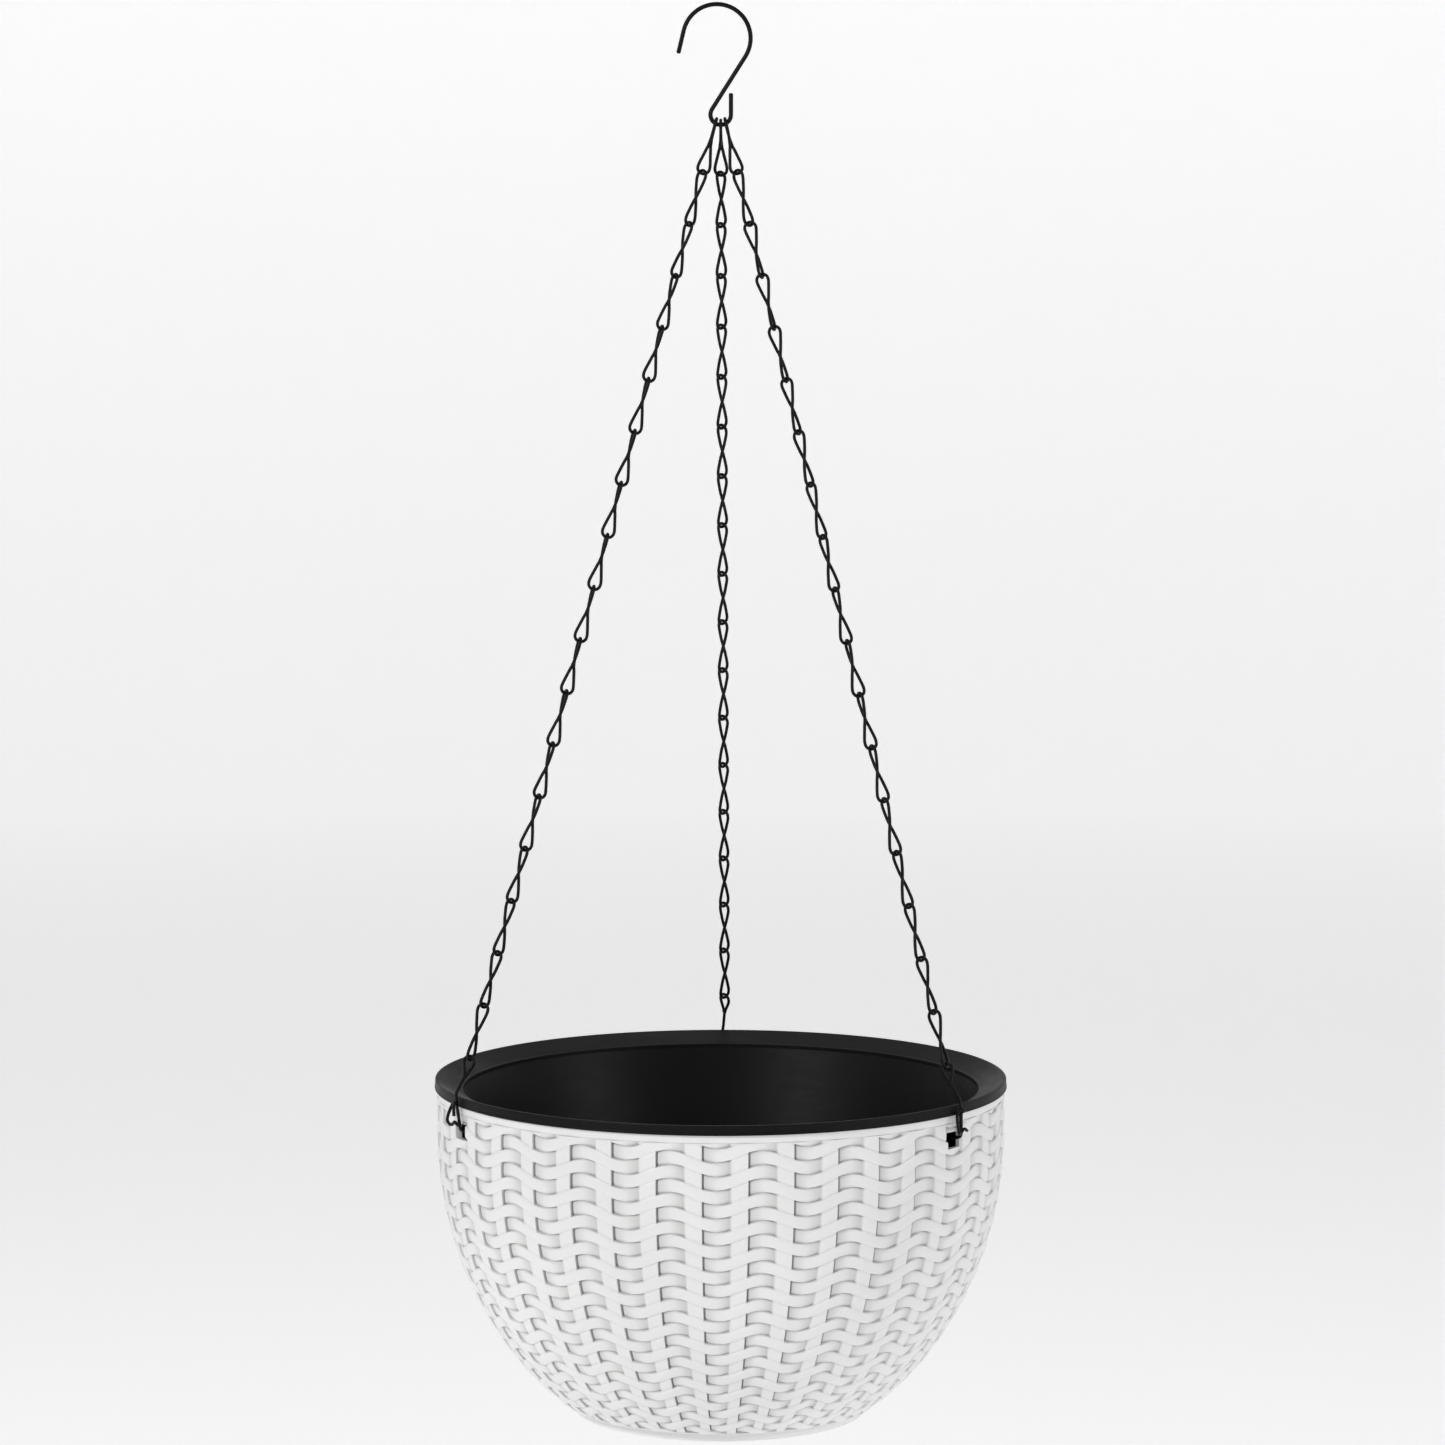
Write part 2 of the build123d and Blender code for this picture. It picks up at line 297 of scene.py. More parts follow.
# %% Faces of a grid
def grid_faces(rows, columns, offset=0):
    """Quads of a grid whose columns close round the axis."""
    row, column = np.meshgrid(np.arange(rows - 1), np.arange(columns), indexing="ij")
    here = offset + row * columns + column
    across = offset + row * columns + (column + 1) % columns
    return np.stack([here, here + columns, across + columns, across], -1).reshape(-1, 4).tolist()


def ring_faces(rows, columns):
    """Quads of a grid that closes both ways, round the axis and from its last ring to its first."""
    faces = np.array(grid_faces(rows + 1, columns))
    return (faces % (rows * columns)).tolist()


# %% [markdown]
# A bent wire is drawn by a few points. A Catmull-Rom curve runs through them, and a round tube
# runs along the curve, with its ring of points carried along so that it never twists.

# %% Lines and tubes
ROUND_ENDS = ((0.86, 0.3), (0.5, 0.516))    # ring size and reach past the cut, as shares of the radius


def smooth_line(points, step):
    """Points along a Catmull-Rom curve through a few chosen points."""
    padded = [points[0], *points, points[-1]]
    line = []
    for before, start, end, after in zip(padded, padded[1:], padded[2:], padded[3:]):
        spans = max(2, math.ceil((end - start).length / step))
        for k in range(spans):
            t = k / spans
            line.append(0.5 * (2 * start + (end - before) * t
                               + (2 * before - 5 * start + 4 * end - after) * t * t
                               + (3 * start - before - 3 * end + after) * t ** 3))
    line.append(points[-1])
    return line


def tube(line, radius, sides=14):
    """Points and faces of a round wire along a line, with rounded ends."""
    nexts = [*line[1:], line[-1]]
    lasts = [line[0], *line[:-1]]
    tangents = [(ahead - behind).normalized() for ahead, behind in zip(nexts, lasts)]
    across = tangents[0].orthogonal().normalized()
    rings = []
    for place, along in zip(line, tangents):
        across = (across - along * across.dot(along)).normalized()
        rings.append((place, along, across, radius))
    # A cut wire's end is rounded by its coat: two short rings close each end.
    for share, reach in ROUND_ENDS:
        first, last = rings[0], rings[-1]
        rings.insert(0, (line[0] - tangents[0] * radius * reach, first[1], first[2], radius * share))
        rings.append((line[-1] + tangents[-1] * radius * reach, last[1], last[2], radius * share))
    points = []
    for place, along, across, size in rings:
        other = along.cross(across)
        for k in range(sides):
            turn = 2 * math.pi * k / sides
            points.append(place + (across * math.cos(turn) + other * math.sin(turn)) * size)
    faces = [[a, d, c, b] for a, b, c, d in grid_faces(len(rings), sides)]
    faces.append(list(range(sides)))
    faces.append([len(rings) * sides - 1 - k for k in range(sides)])
    return points, faces


def join(parts):
    """One list of points and faces from several."""
    points, faces = [], []
    for more_points, more_faces in parts:
        offset = len(points)
        points.extend(more_points)
        faces.extend([[index + offset for index in face] for face in more_faces])
    return points, faces


# %% [markdown]
# ## The woven bowl
# The pattern is a plain weave. Forty upright stakes stand nine degrees apart, and strands run
# round the bowl over one stake and under the next. Neighbouring strands do the opposite, so
# the pattern repeats every two stakes. Each strand also waves up and down.
#
# It could be a bump map, but the grooves show in the outline and must survive export, so it is
# real relief. The trick is a grid that follows the pattern: its columns crowd together at the
# stakes' edges and its rows follow the wave, so few faces give crisp strands.

# %% Sizes of the weave
STAKE_STEP = 9.0               # degrees
STAKE_EDGE = -3.6              # right edge of the stake just left of the front, degrees
STAKE_START = 5.6              # left edge of a stake, degrees after the right edge of the last
GAP_MIDDLE = STAKE_START / 2
STAKE_MIDDLE = (STAKE_START + STAKE_STEP) / 2
STAKE_RISE = 0.30              # stake's height, as a share of the strand's relief
BEVEL_START = 5.35             # where the bevel at a stake's left edge starts, degrees
BEVEL_WIDTH = 0.5
STRAND_PITCH = 12.45 * MM      # down the wall, for a pair of strands
WEAVE_START = 7.7 * MM         # below the rim's plane, along the wall
WAVE = 0.215                   # share of a pitch that the strands wave up and down
RELIEF = 0.66 * MM             # strand's rise and fall about the wall's surface
CROWN = 0.30 * MM              # roundness of a strand across its width
GROOVE = 0.42 * MM             # between two strands
SLIT = 0.85 * MM               # where a strand comes out from under a stake
SLIT_ANGLE = 0.12              # degrees after the stake's right edge
PIT = 0.45 * MM                # at the slit's two ends
DEEPEST = 1.9 * RELIEF
BAND = 8.2 * MM                # plain band under the lip, down to the first strand
FOOT_BAND = 5.2 * MM
BELLY_DROP = 25.0 * MM
BELLY_DEPTH = 150.0 * MM
WALL = 2.4 * MM
FOOT_RADIUS = 66.5 * MM
FOOT_RING = 3.0 * MM
FOOT_RECESS = 4.5 * MM
DRAIN_RADIUS = 8.0 * MM

# Columns of the grid, in degrees after a stake's right edge, and rows, as shares of half a pitch.
CELL_COLUMNS = [0.0, 0.14, 0.24, 0.42, 1.3, 2.8, 4.2, 5.15, 5.42, 5.84, 6.4, 7.3, 8.2, 8.92]
STRAND_ROWS = [0.0, 0.09, 0.27, 0.73, 0.91]
print("stakes", round(360 / STAKE_STEP))

# %% [markdown]
# The wall's outline is a short upright band and then part of an ellipse. Distance along it is
# measured numerically, so the strands keep the same width all the way down.

# %% Measure the wall's outline
turns = np.linspace(0, 1.2, 1500)
speed = np.hypot(BOWL_RADIUS * np.sin(turns), BELLY_DEPTH * np.cos(turns))
lengths = np.concatenate([[0], np.cumsum((speed[1:] + speed[:-1]) / 2 * np.diff(turns))])
belly_turn = math.asin((RIM_Z - BELLY_DROP - (FOOT_Z + FOOT_BAND)) / BELLY_DEPTH)
WEAVE_END = BELLY_DROP + float(np.interp(belly_turn, turns, lengths))
print("weave ends", round(WEAVE_END / MM, 1), "mm down the wall")


def wall_at(distance):
    """Radius, height and outward normal of the wall, at a distance below the rim's plane."""
    turn = np.interp(distance - BELLY_DROP, lengths, turns, left=0)
    radius = BOWL_RADIUS * np.cos(turn)
    height = RIM_Z - np.minimum(distance, BELLY_DROP) - BELLY_DEPTH * np.sin(turn)
    slope = np.hypot(np.cos(turn) / BOWL_RADIUS, np.sin(turn) / BELLY_DEPTH)
    return radius, height, np.cos(turn) / BOWL_RADIUS / slope, -np.sin(turn) / BELLY_DEPTH / slope


def eased(low, high, value):
    """0 below low, 1 above high, eased between."""
    share = np.clip((value - low) / (high - low), 0, 1)
    return share * share * (3 - 2 * share)


# %% [markdown]
# The height of the pattern is a plain formula. A strand rises where it passes over a stake and
# sinks where it goes under. The stake is a flat bar at middle height, and whichever is higher
# shows. A dark slit and two small pits mark the side where a strand starts. The stake's other
# side is a bevel that the strand sinks into.

# %% Height of the weave
def strand_height(phase, row):
    """Relief at an angle into the two-stake pattern and a row number, away from strand edges."""
    falling = (row % 1.0) < 0.5
    crest = np.where(falling, STAKE_MIDDLE, STAKE_MIDDLE + STAKE_STEP)
    strand = RELIEF * np.cos(2 * np.pi * (phase - crest) / (2 * STAKE_STEP))
    inside = (row % 0.5) / 0.5
    strand = strand - CROWN * np.abs(2 * inside - 1) ** 3
    cell = phase % STAKE_STEP
    starting = (strand < 0) & (cell < STAKE_STEP / 2)
    edge = np.abs(cell - SLIT_ANGLE)
    strand = strand - np.where(starting, SLIT * (1 - eased(0.06, 0.26, edge)), 0)
    corner = np.hypot(edge / 0.30, np.minimum(inside, 1 - inside) / 0.14)
    strand = strand - np.where(starting, PIT * (1 - eased(0.3, 1.0, corner)), 0)
    bevel = (1 - (cell - BEVEL_START) / BEVEL_WIDTH).clip(0, 1)
    stake = np.where(cell >= BEVEL_START - 0.05, STAKE_RISE * RELIEF - 1.6 * RELIEF * bevel, -1.0)
    return np.maximum(strand, stake), stake


def weave_height(phase, row):
    """Relief with grooves between the strands."""
    nudge = 0.012
    above, stake = strand_height(phase, row - nudge)
    below, _ = strand_height(phase, row + nudge)
    edge = np.minimum(row % 0.5, 0.5 - row % 0.5)
    depth = GROOVE * (1 - eased(0.0, 0.04, edge))
    low = np.minimum(above, below)
    return np.maximum(low - depth * np.where(low <= stake, 0.6, 1.0), -DEEPEST - PIT)


# %% [markdown]
# The bowl is one closed mesh: the band, the woven wall, the foot ring, the recessed floor, the
# drain hole, and the plain inside. All rows share the same columns, so they simply stack.

# %% Lay out the bowl's columns
cells = round(360 / STAKE_STEP)
angles = np.array([STAKE_EDGE + cell * STAKE_STEP + c for cell in range(cells) for c in CELL_COLUMNS])
phases = (angles - STAKE_EDGE) % (2 * STAKE_STEP)
radial_x = np.sin(np.radians(angles))
radial_y = -np.cos(np.radians(angles))
columns = len(angles)
print("columns", columns)


def ring_points(radius, height):
    """A ring of points; radius and height may change round it."""
    radius = np.broadcast_to(radius, (columns,))
    height = np.broadcast_to(height, (columns,))
    return np.stack([radius * radial_x, radius * radial_y, height], -1)


# %% Rings down the woven wall
def woven_rings():
    """Rings down the woven wall, with the depth of each point for the painted shade in the grooves."""
    shift = WAVE * np.cos(2 * np.pi * (phases - GAP_MIDDLE) / (2 * STAKE_STEP))
    first = (BAND - WEAVE_START) / STRAND_PITCH - WAVE
    last = (WEAVE_END - WEAVE_START) / STRAND_PITCH + WAVE
    halves = np.arange(math.floor(first * 2), math.ceil(last * 2) + 1)
    rows = [half / 2 + inside / 2 for half in halves for inside in STRAND_ROWS]
    rings, shade_depths = [], []
    sliver = 0.02 * MM
    for index, row in enumerate(rows):
        distance = WEAVE_START + STRAND_PITCH * (row + shift)
        low = BAND + sliver * index
        high = WEAVE_END - sliver * (len(rows) - index)
        kept = np.clip(distance, low, high)
        clipped = kept != distance
        true_row = np.where(clipped, (kept - WEAVE_START) / STRAND_PITCH - shift, row)
        relief = weave_height(phases, true_row)
        radius, height, out, up = wall_at(kept)
        rings.append(ring_points(radius + relief * out, height + relief * up))
        shade_depths.append(np.clip(-relief / DEEPEST, 0, 1))
    return rings, shade_depths


# %% Every ring of the bowl
FLOOR_WALL = 2.6 * MM


def bowl_rings():
    """Every ring of the bowl, from its top edge round to the top edge again."""
    rings, shade_depths = [], []

    # The third number is painted shade: grey in the creases under the band and round the foot.
    def add(radius, height, depth=0.0):
        rings.append(ring_points(radius, height))
        shade_depths.append(np.full(columns, depth))

    lip = 0.5 * MM
    add(BOWL_RADIUS - lip, BOWL_TOP)
    add(BOWL_RADIUS - 0.15 * lip, BOWL_TOP - 0.4 * lip)
    add(BOWL_RADIUS, BOWL_TOP - lip)
    add(BOWL_RADIUS + 0.1 * MM, RIM_Z - BAND + 0.55 * MM)
    add(BOWL_RADIUS - 0.1 * MM, RIM_Z - BAND + 0.25 * MM, 0.4)
    wall, wall_shade_depths = woven_rings()
    rings.extend(wall)
    shade_depths.extend(wall_shade_depths)
    radius, height, _, _ = wall_at(np.array([WEAVE_END]))
    end_radius, end_height = float(radius[0]), float(height[0])
    ledge = 0.5 * MM
    add(end_radius + 0.2 * MM, end_height - 0.25 * MM, 0.2)
    add(end_radius - 0.5 * MM, end_height - 0.9 * MM)
    add(FOOT_RADIUS + 0.2 * MM, end_height - 1.4 * MM, 0.1)
    add(FOOT_RADIUS, FOOT_Z + ledge)
    add(FOOT_RADIUS - 0.3 * ledge, FOOT_Z + 0.3 * ledge)
    add(FOOT_RADIUS - ledge, FOOT_Z)
    add(FOOT_RADIUS - FOOT_RING + ledge, FOOT_Z)
    add(FOOT_RADIUS - FOOT_RING, FOOT_Z + ledge)
    floor_z = FOOT_Z + FOOT_RECESS
    floor_radius = FOOT_RADIUS - FOOT_RING
    add(floor_radius - ledge, floor_z - ledge, 0.2)
    add(floor_radius - 2 * ledge, floor_z)
    # Rings every quarter of the way keep the recessed floor's faces well shaped.
    for share in (0.25, 0.5, 0.75):
        add(floor_radius - share * (floor_radius - DRAIN_RADIUS), floor_z)
    add(DRAIN_RADIUS + ledge, floor_z)
    add(DRAIN_RADIUS, floor_z + ledge)
    inside_floor = floor_z + FLOOR_WALL
    add(DRAIN_RADIUS, inside_floor - ledge)
    add(DRAIN_RADIUS + ledge, inside_floor)
    bottom_turn = math.asin((RIM_Z - BELLY_DROP - inside_floor) / (BELLY_DEPTH - WALL))
    bottom_radius = (BOWL_RADIUS - WALL) * math.cos(bottom_turn)
    add((DRAIN_RADIUS + bottom_radius) / 2, inside_floor)
    add(bottom_radius - 3 * MM, inside_floor)
    for share in np.linspace(0.985, 0, 12):
        turn = bottom_turn * share
        add((BOWL_RADIUS - WALL) * math.cos(turn), RIM_Z - BELLY_DROP - (BELLY_DEPTH - WALL) * math.sin(turn))
    add(BOWL_RADIUS - WALL, BOWL_TOP - lip)
    add(BOWL_RADIUS - WALL + lip, BOWL_TOP)
    return rings, shade_depths


# %% [markdown]
# The three chain holes are cut last, with an exact boolean. Each cutter is a plain box that
# takes its azimuth from its chain, so the hole, the hook and the chain stay in line.

# %% Tools that cut
HOLE_WIDTH = 10.0 * MM
HOLE_HEIGHT = 7.4 * MM
HOLE_DROP = 15.8 * MM


def box_cutter(name, middle, outward, width, depth, height):
    """A box whose depth runs outward from the axis."""
    side = Vector((-outward.y, outward.x, 0))
    points = [middle + side * a * width / 2 + outward * b * depth / 2 + Vector((0, 0, c * height / 2))
              for a in (-1, 1) for b in (-1, 1) for c in (-1, 1)]
    faces = [[2, 3, 1, 0], [5, 7, 6, 4], [1, 5, 4, 0], [6, 7, 3, 2], [4, 6, 2, 0], [3, 7, 5, 1]]
    return make_plain(name, points, faces)


def cut(piece, cutters):
    """Cuts the cutters out of a piece and removes them."""
    for cutter in cutters:
        change = piece.modifiers.new("cut", "BOOLEAN")
        change.operation = "DIFFERENCE"
        change.solver = "EXACT"
        change.object = cutter
    bpy.context.view_layer.update()
    result = piece.evaluated_get(bpy.context.evaluated_depsgraph_get())
    mesh = bpy.data.meshes.new_from_object(result)
    piece.modifiers.clear()
    old = piece.data
    piece.data = mesh
    bpy.data.meshes.remove(old)
    for cutter in cutters:
        bpy.data.objects.remove(cutter)
    mesh.set_sharp_from_angle(angle=CREASE)


# %% Make the bowl and cut its chain holes
rings, shade_depths = bowl_rings()
faces = ring_faces(len(rings), columns)
bowl = make_piece("woven_bowl", np.concatenate(rings), faces, WHITE, "pot", "white_plastic", ["outer_pot"])
# An attribute that carries the painted shade of the grooves and creases.
groove_shade = bowl.data.attributes.new("groove_shade", "FLOAT", "POINT")
groove_shade.data.foreach_set("value", np.concatenate(shade_depths).astype(np.float32))
cutters = []
for name, outward in chain_outward.items():
    middle = outward * (BOWL_RADIUS - WALL / 2) + Vector((0, 0, RIM_Z - HOLE_DROP))
    cutters.append(box_cutter(name + "_hole", middle, outward, HOLE_WIDTH, 6 * WALL, HOLE_HEIGHT))
cut(bowl, cutters)
print("bowl faces", len(bowl.data.polygons))

# %% [markdown]
# ## The liner
# The liner is turned from a rounded outline: a thin floor, a tapered wall, a sloping rim and a
# lip that hangs over the bowl's edge. A bead runs round the lip's lower edge, where the mould
# parts, and a small step marks the inner edge of the slope. Eight drain holes go through the
# floor.

# %% Tools that turn
def rounded(corners, steps=5):
    """Outline with its corners rounded off; each corner is (radius, height, fillet)."""
    outline = []
    for index, (radius, height, fillet) in enumerate(corners):
        corner = Vector((radius, height))
        if fillet == 0 or index in (0, len(corners) - 1):
            outline.append(corner)
            continue
        before = Vector(corners[index - 1][:2]) - corner
        after = Vector(corners[index + 1][:2]) - corner
        reach = min(fillet / math.tan(before.angle(after) / 2), 0.48 * before.length, 0.48 * after.length)
        start = corner + before.normalized() * reach
        end = corner + after.normalized() * reach
        for k in range(steps + 1):
            t = k / steps
            outline.append(start * (1 - t) ** 2 + corner * 2 * t * (1 - t) + end * t ** 2)
    return outline


def lathe(outline, segments=256):
    """Points and faces of a turned solid, whose outline starts and ends on the axis."""
    turn = np.arange(segments) * 2 * np.pi / segments
    rings = [np.stack([p.x * np.sin(turn), -p.x * np.cos(turn), np.full(segments, p.y)], -1)
             for p in outline[1:-1]]
    points = np.concatenate(rings + [[[0, 0, outline[0].y], [0, 0, outline[-1].y]]])
    faces = grid_faces(len(rings), segments)
    top, bottom = len(points) - 2, len(points) - 1
    last = (len(rings) - 1) * segments
    for k in range(segments):
        after = (k + 1) % segments
        faces.append([top, k, after])
        faces.append([bottom, last + after, last + k])
    return points, faces


# %% Turn the liner
LINER_WALL = 1.6 * MM
LIP_WALL = 1.1 * MM
LIP_HEIGHT = 4.4 * MM
FLARE_WIDTH = 11.0 * MM
FLARE_DROP = 5.0 * MM
LINER_FOOT_RADIUS = 86.0 * MM
FLOOR_RING = 30.0 * MM         # a ring that keeps the floor's faces well shaped
flare_in = RIM_RADIUS - FLARE_WIDTH
flare_z = RIM_Z - FLARE_DROP
lip_in = RIM_RADIUS - LIP_WALL
liner_outline = rounded([
    (0, LINER_BASE + LINER_WALL, 0),
    (FLOOR_RING, LINER_BASE + LINER_WALL, 0),
    (LINER_FOOT_RADIUS - LINER_WALL, LINER_BASE + LINER_WALL, 2.0 * MM),
    (flare_in - LINER_WALL - 0.3 * MM, flare_z - 1.6 * MM, 0.5 * MM),
    (flare_in - LINER_WALL - 0.3 * MM, flare_z + 0.1 * MM, 0.3 * MM),
    (flare_in - LINER_WALL + 1.2 * MM, flare_z + 0.35 * MM, 0.5 * MM),
    (RIM_RADIUS - 1.7 * MM, RIM_Z, 0.9 * MM),
    (RIM_RADIUS - 0.25 * MM, RIM_Z - 0.05 * MM, 0.6 * MM),
    (RIM_RADIUS - 0.2 * MM, RIM_Z - LIP_HEIGHT + 1.1 * MM, 0.3 * MM),
    (RIM_RADIUS, RIM_Z - LIP_HEIGHT + 0.8 * MM, 0.2 * MM),
    (RIM_RADIUS, RIM_Z - LIP_HEIGHT, 0.35 * MM),
    (lip_in, RIM_Z - LIP_HEIGHT, 0.3 * MM),
    (lip_in, RIM_Z - LINER_WALL, 0.4 * MM),
    (flare_in, flare_z - LINER_WALL, 0.8 * MM),
    (LINER_FOOT_RADIUS, LINER_BASE, 1.6 * MM),
    (FLOOR_RING, LINER_BASE, 0),
    (0, LINER_BASE, 0),
])
liner = make_piece("liner_pot", *lathe(liner_outline), BLACK, "liner", "black_plastic", ["inner_pot"])
print("liner outline", len(liner_outline), "points")


# %% Drill the liner's drain holes
HOLE_CIRCLE = 62.0 * MM
HOLE_RADIUS = 2.3 * MM
HOLE_COUNT = 8


def circle(radius, count):
    """Evenly spaced points round the axis."""
    turns = [2 * math.pi * k / count for k in range(count)]
    return [Vector((radius * math.cos(turn), radius * math.sin(turn), 0)) for turn in turns]


def drill(radius, place, depth, sides=24):
    """A round cutter that stands upright."""
    points = [place + p + Vector((0, 0, z)) for z in (depth, -depth) for p in circle(radius, sides)]
    faces = [[k + sides, (k + 1) % sides + sides, (k + 1) % sides, k] for k in range(sides)]
    faces += [list(range(sides)), [2 * sides - 1 - k for k in range(sides)]]
    return make_plain("drill", points, faces)


base = Vector((0, 0, LINER_BASE))
cut(liner, [drill(HOLE_RADIUS, base + place, 6 * MM) for place in circle(HOLE_CIRCLE, HOLE_COUNT)])
print("liner faces", len(liner.data.polygons))

# %% [markdown]
# ## Grate and plug
# The grate stands in the liner and the plug closes the bowl. Both CAD shapes are already
# right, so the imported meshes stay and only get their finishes.

# %% Finish the grate and the plug
kept_nodes = (("drainage_grate", GRATE, "grate_plastic"), ("drain_plug", RUBBER, "plug_rubber"))
for node, finish, slot_name in kept_nodes:
    kept = frame["nodes"][node]
    kept.data.materials.clear()
    kept.data.materials.append(finish)
    print(node, "keeps its mesh, with", finish.name)

# %% [markdown]
# ## One link of the chain
# Each link is one piece of wire bent into two loops a quarter turn apart. The wire starts at
# the waist, runs up round the upper loop, comes back through the waist, runs round the lower
# loop, and ends at the waist against its own start. Both cut ends show there as a small bump.
# The lower loop is the upper one turned over, so only the upper one is drawn.

# %% Where the chains run
LINK_WIRE = 1.45 * MM
LINK_R = 2.7 * MM
LINKS = 18
LINKS_PER_NODE = 3
LINK_PLAY = 0.12 * MM
END_RISE = 18.0 * MM
END_INSET = 7.4 * MM
END_CLEARANCE = 0.45 * MM
end_radius = RIM_RADIUS + END_CLEARANCE + LINK_WIRE / 2

chains = {}
for name, outward in chain_outward.items():
    start = chain_starts[name]
    end = outward * (end_radius - END_INSET) + Vector((0, 0, RIM_Z + END_RISE))
    run = end - start
    chains[name] = (start, run.normalized(), run.length / LINKS)
LINK_LENGTH = sum(chain[2] for chain in chains.values()) / len(chains) + LINK_WIRE + LINK_PLAY
print("link length", round(LINK_LENGTH / MM, 2), "mm")

# %% The link's line
LOOP_SIDE = 2.45 * MM          # from the axis to the loop's straight side
LOOP_SHOULDER = 2.0 * MM       # from the side's last point up to the round top
WAIST = Vector((0.52, -0.52, 0)) * MM
WAIST_RISE = 0.1 * MM
LEAVING = ((0.95, -0.35, 1.6), (1.5, -0.1, 4.0))    # the wire leaves the waist, in millimetres


def round_top(centre, steps=6):
    """Half a circle over the top of a loop, from one side to the other."""
    turns = [math.pi * k / steps for k in range(steps + 1)]
    return [Vector((LINK_R * math.cos(turn), 0, centre + LINK_R * math.sin(turn))) for turn in turns]


def link_line(rng):
    """Centre line of one link, with a little of the bender's inaccuracy."""
    slack = 1 + rng.uniform(-0.03, 0.03)
    gap = rng.uniform(-0.12, 0.12) * MM
    centre = LINK_LENGTH / 2 - LINK_R
    rise = [Vector(p) * MM for p in LEAVING]
    rise.append(Vector((LOOP_SIDE * slack, 0, centre - LOOP_SHOULDER)))
    fall = [Vector((-p.x, -p.y, p.z)) for p in reversed(rise)]
    upper = rise + round_top(centre) + fall
    lower = [Vector((p.y, p.x, -p.z)) for p in upper]
    start = WAIST + Vector((0, 0, WAIST_RISE + gap))
    end = WAIST + Vector((0, 0, gap - WAIST_RISE))
    return [start] + upper + [-WAIST] + lower + [end]


# %% [markdown]
# A chain that hangs from a bent hook turns a little from link to link. The turn is chosen at a
# few links and runs evenly between them.

# %% Place a link
# Turn about the chain, in degrees, at some of the links counted from the top.
TWIST = {
    "chain_left": {0: 0, 1: 44, 2: 38, 4: 16, 9: 10, 13: 24, 17: 60},
    "chain_right": {0: 0, 1: 45, 2: 70, 3: 72, 6: 52, 10: 16, 13: 28, 17: 62},
    "chain_rear": {0: 0, 1: 42, 5: 44, 12: 46, 17: 45},
}


def link_place(name, distance, share):
    """Frame of a link: Z points up the chain and X lies in its upper loop."""
    start, down, _ = chains[name]
    twist = TWIST[name]
    turned = np.interp(share * (LINKS - 1), list(twist), list(twist.values()))
    turn = math.radians(90 + float(turned))
    up = -down
    across = Vector((1, 0, 0))
    across = (across - down * across.dot(down)).normalized()
    x = across * math.cos(turn) + up.cross(across) * math.sin(turn)
    y = up.cross(x)
    place = Matrix((x, y, up)).transposed().to_4x4()
    place.translation = start + down * distance
    return place


# %% Hang the chains
rng = np.random.default_rng(7)
for name, (_, _, pitch) in chains.items():
    for segment in range(LINKS // LINKS_PER_NODE):
        parts = []
        for index in range(segment * LINKS_PER_NODE, (segment + 1) * LINKS_PER_NODE):
            place = link_place(name, LINK_LENGTH / 2 + index * pitch, index / (LINKS - 1))
            line = smooth_line([place @ p for p in link_line(rng)], step=0.8 * MM)
            parts.append(tube(line, LINK_WIRE / 2, sides=12))
        node = f"{name}_{segment + 1}"
        make_piece("wire_" + node, *join(parts), WIRE, name, "black_wire", [node])
    print(name, "links", LINKS)

# %% [markdown]
# ## End hooks
# One wire again: an eye on the last link, a stem over the rim, a leg that turns in through the
# bowl's hole, and a latch beside the leg that stops it from slipping out. The latch springs
# away from the bowl and its end curls over the leg. A spare end of wire points down between.

# %% Round bends
BEND_STEP = 0.35 * MM


def bent(corners, radius):
    """Straight runs joined by round bends."""
    weight = 1 / math.sqrt(2)
    line = [corners[0]]
    for before, corner, after in zip(corners, corners[1:], corners[2:]):
        back, on = before - corner, after - corner
        reach = min(radius / math.tan(back.angle(on) / 2), 0.49 * back.length, 0.49 * on.length)
        start = corner + back.normalized() * reach
        end = corner + on.normalized() * reach
        steps = max(4, round(reach * 1.6 / BEND_STEP))
        for k in range(steps + 1):
            t = k / steps
            a, b, c = (1 - t) ** 2, 2 * t * (1 - t) * weight, t ** 2
            line.append((start * a + corner * b + end * c) / (a + b + c))
    line.append(corners[-1])
    return line


# %% The end hook's eye and stem
END_EYE = 8.5 * MM
END_BEND = 2.0 * MM
END_LEG = 6.5 * MM
END_LEG_DROP = 14.6 * MM
EYE_SIDE = 2.2 * MM
EYE_SHOULDER = 1.9 * MM


def leg_side(drop):
    """How far the leg leans sideways, at a drop below the rim's plane."""
    return 1.0 * MM + 0.15 * drop


def by_rim(outward, radius, height, shift):
    """A place at a radius, a height over the rim's plane and a shift sideways."""
    side = Vector((-outward.y, outward.x, 0))
    return outward * radius + side * shift + Vector((0, 0, RIM_Z + height))


def eye_line(place):
    """The eye, from the waist up one side and down the other."""
    centre = END_EYE - LINK_R
    shoulder = centre - EYE_SHOULDER
    rise = [(0.72 * MM, 0, -0.9 * MM), (0.75 * MM, 0, 0.4 * MM), (EYE_SIDE, 0, shoulder)]
    fall = [(-EYE_SIDE, 0, shoulder), (-0.55 * MM, 0, 0.4 * MM), (-0.1 * MM, 0, -1.2 * MM)]
    return [place @ Vector(p) for p in rise + round_top(centre) + fall]


